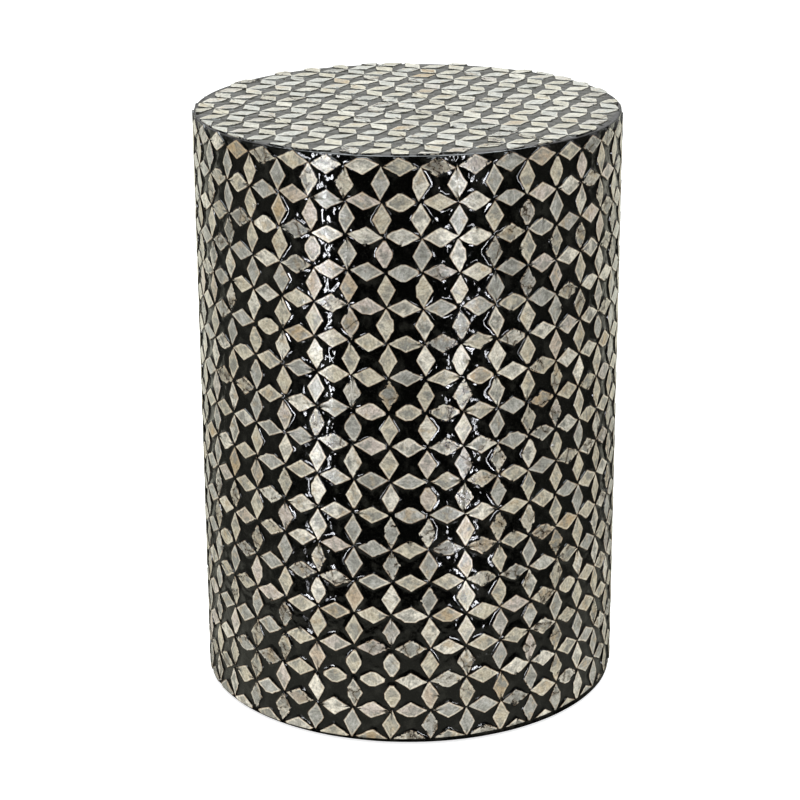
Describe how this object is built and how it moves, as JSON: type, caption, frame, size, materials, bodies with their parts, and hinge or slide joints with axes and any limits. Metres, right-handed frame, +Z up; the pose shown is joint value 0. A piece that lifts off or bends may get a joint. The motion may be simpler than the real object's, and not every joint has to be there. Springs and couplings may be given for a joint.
{
  "type": "accent stool",
  "caption": "Round drum-shaped accent stool: a timber drum faced with a star lattice of rhombic shell tiles on a glossy black ground, used as a seat or side table.",
  "frame": {"origin": "on the floor, under the middle of the drum", "axes": "+Z up along the drum's axis, -Y the front that the picture shows, +X to the right"},
  "size_m": [0.326, 0.326, 0.457],
  "materials": {
    "shell_tile": "polished shell under clear lacquer",
    "black_ground": "glossy black resin",
    "plywood": "raw bent plywood",
    "board": "raw fibreboard",
    "black_board": "fibreboard painted satin black",
    "screw_steel": "zinc plated",
    "felt": "pressed felt"
  },
  "bodies": {
    "root": {"base_panel": "black_board", "base_screws": "screw_steel", "batten_1": "plywood", "batten_2": "plywood", "batten_3": "plywood", "batten_4": "plywood", "batten_5": "plywood", "batten_6": "plywood", "batten_screws": "screw_steel", "felt_pads": "felt", "flat_course_01": "shell_tile", "flat_course_02": "shell_tile", "flat_course_03": "shell_tile", "flat_course_04": "shell_tile", "flat_course_05": "shell_tile", "flat_course_06": "shell_tile", "flat_course_07": "shell_tile", "flat_course_08": "shell_tile", "flat_course_09": "shell_tile", "flat_course_10": "shell_tile", "flat_course_11": "shell_tile", "flat_course_12": "shell_tile", "flat_course_13": "shell_tile", "flat_course_14": "shell_tile", "flat_course_15": "shell_tile", "flat_course_16": "shell_tile", "flat_course_17": "shell_tile", "flat_course_18": "shell_tile", "front_wall": "plywood", "lower_hoop": "plywood", "middle_hoop": "plywood", "rear_wall": "plywood", "seat_ground": "black_ground", "seat_panel": "board", "seat_screws": "screw_steel", "seat_tiles_across": "shell_tile", "seat_tiles_along": "shell_tile", "side_ground": "black_ground", "upper_hoop": "plywood", "upright_course_01": "shell_tile", "upright_course_02": "shell_tile", "upright_course_03": "shell_tile", "upright_course_04": "shell_tile", "upright_course_05": "shell_tile", "upright_course_06": "shell_tile", "upright_course_07": "shell_tile", "upright_course_08": "shell_tile", "upright_course_09": "shell_tile", "upright_course_10": "shell_tile", "upright_course_11": "shell_tile", "upright_course_12": "shell_tile", "upright_course_13": "shell_tile", "upright_course_14": "shell_tile", "upright_course_15": "shell_tile", "upright_course_16": "shell_tile", "upright_course_17": "shell_tile"}
  },
  "joints": []
}
